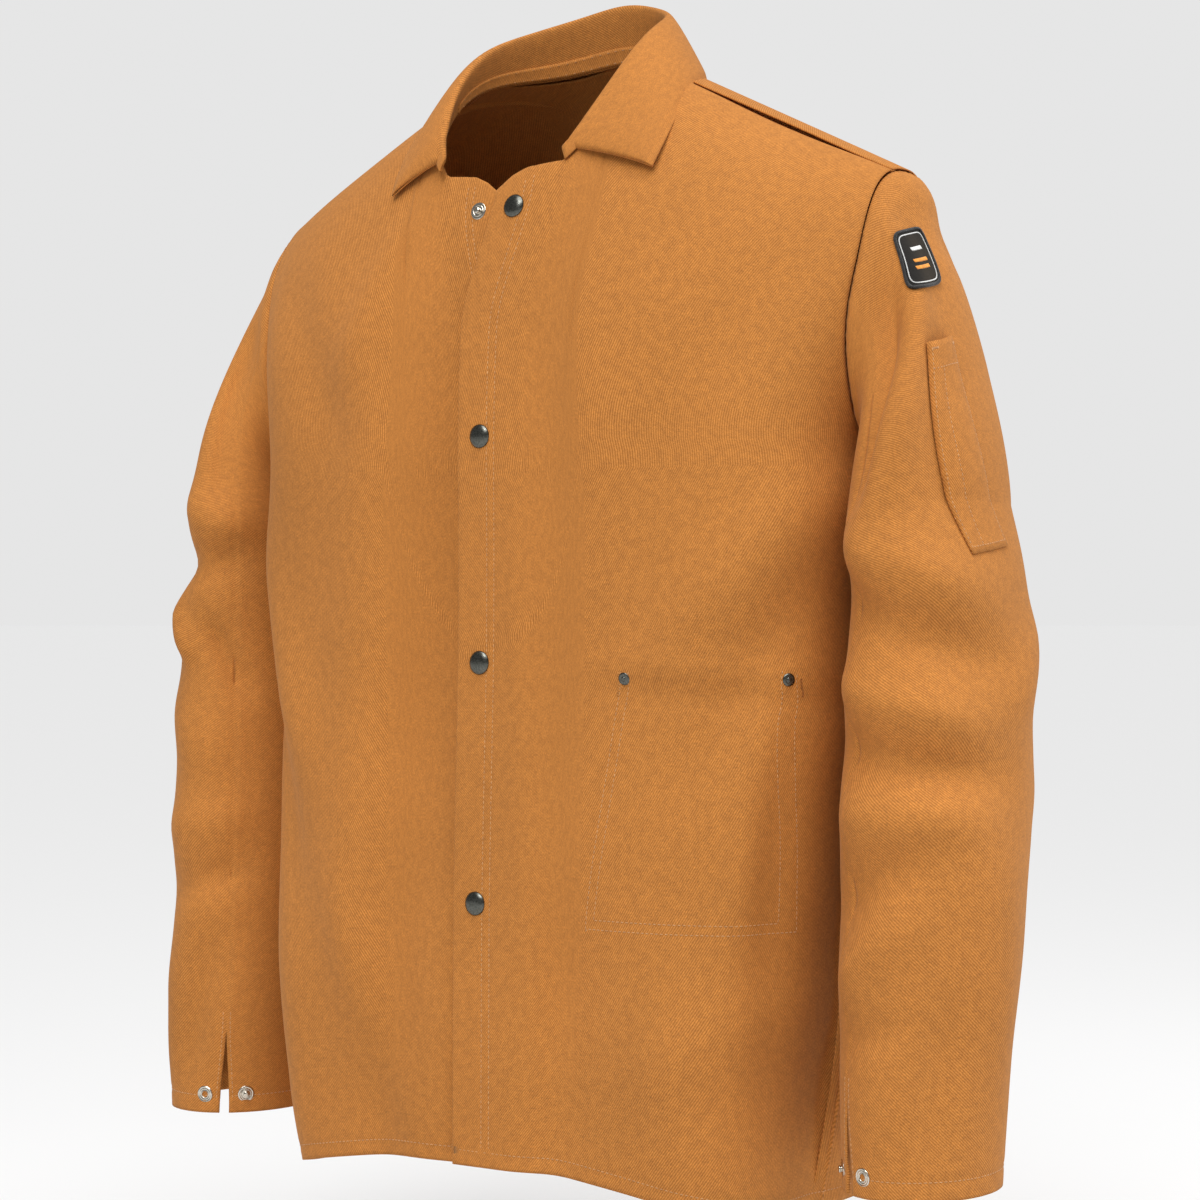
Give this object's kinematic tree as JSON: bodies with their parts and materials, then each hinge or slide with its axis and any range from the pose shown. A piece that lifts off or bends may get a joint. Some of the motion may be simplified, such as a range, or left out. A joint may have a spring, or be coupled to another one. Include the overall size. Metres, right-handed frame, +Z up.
{
  "type": "welding jacket",
  "caption": "Snap-front welding jacket of heavy cotton twill with a turned-down collar, set-in sleeves that bend at the elbow and fronts that fold open.",
  "frame": {"origin": "the middle of the neck opening, level with the neck points of the shoulders", "axes": "+X towards the wearer's left, -Y the way the wearer faces, +Z up"},
  "size_m": [0.6626, 0.2614, 0.8167],
  "materials": {
    "cloth": "matt cotton twill",
    "badge": "matt woven patch",
    "steel": "bright nickel plate",
    "gunmetal": "smooth black nickel plate"
  },
  "bodies": {
    "jacket": {"back_panel": "cloth", "badge": "badge", "collar_leaf": "cloth", "collar_stand": "cloth", "inside_pocket": "cloth", "left_front_fold": "cloth", "left_front_panel": "cloth", "left_sleeve_elbow": "cloth", "left_sleeve_upper": "cloth", "neck_binding": "cloth", "pen_pocket": "cloth", "pocket_burr_inner": "gunmetal", "pocket_burr_outer": "gunmetal", "pocket_rivet_inner": "gunmetal", "pocket_rivet_outer": "gunmetal", "right_front_fold": "cloth", "right_front_panel": "cloth", "right_sleeve_elbow": "cloth", "right_sleeve_upper": "cloth"},
    "left_front": {"left_front_edge": "cloth", "left_front_facing": "cloth", "snap_1_cap": "gunmetal", "snap_1_socket": "steel", "snap_2_cap": "gunmetal", "snap_2_socket": "steel", "snap_3_cap": "gunmetal", "snap_3_socket": "steel", "snap_4_cap": "gunmetal", "snap_4_socket": "steel"},
    "right_front": {"right_front_edge": "cloth", "right_front_facing": "cloth", "snap_1_eyelet": "steel", "snap_1_stud": "steel", "snap_2_eyelet": "steel", "snap_2_stud": "steel", "snap_3_eyelet": "steel", "snap_3_stud": "steel", "snap_4_eyelet": "steel", "snap_4_stud": "steel"},
    "left_forearm": {"left_cuff_eyelet": "steel", "left_cuff_ring": "steel", "left_cuff_socket": "steel", "left_cuff_stud": "steel", "left_sleeve_lower": "cloth"},
    "right_forearm": {"right_cuff_eyelet": "steel", "right_cuff_ring": "steel", "right_cuff_socket": "steel", "right_cuff_stud": "steel", "right_sleeve_lower": "cloth"}
  },
  "joints": [
    {"name": "left_front_open", "type": "hinge", "parent": "jacket", "child": "left_front", "pos_m": [0.0635, -0.1276, -0.73], "axis": [-0.0221, 0.0165, 0.9996], "range_deg": [0, 75], "deforming": ["left_front_fold"]},
    {"name": "right_front_open", "type": "hinge", "parent": "jacket", "child": "right_front", "pos_m": [-0.0635, -0.1276, -0.73], "axis": [-0.0221, -0.0165, -0.9996], "range_deg": [0, 46], "deforming": ["right_front_fold"]},
    {"name": "left_elbow_bend", "type": "hinge", "parent": "jacket", "child": "left_forearm", "pos_m": [0.275, -0.01, -0.399], "axis": [-1, 0, 0], "range_deg": [0, 60], "deforming": ["left_sleeve_elbow"]},
    {"name": "right_elbow_bend", "type": "hinge", "parent": "jacket", "child": "right_forearm", "pos_m": [-0.275, -0.01, -0.399], "axis": [-1, 0, 0], "range_deg": [0, 60], "deforming": ["right_sleeve_elbow"]}
  ],
  "couplings": [
    {"joint": "right_front_open", "follows": "left_front_open", "ratio": 0.6}
  ]
}
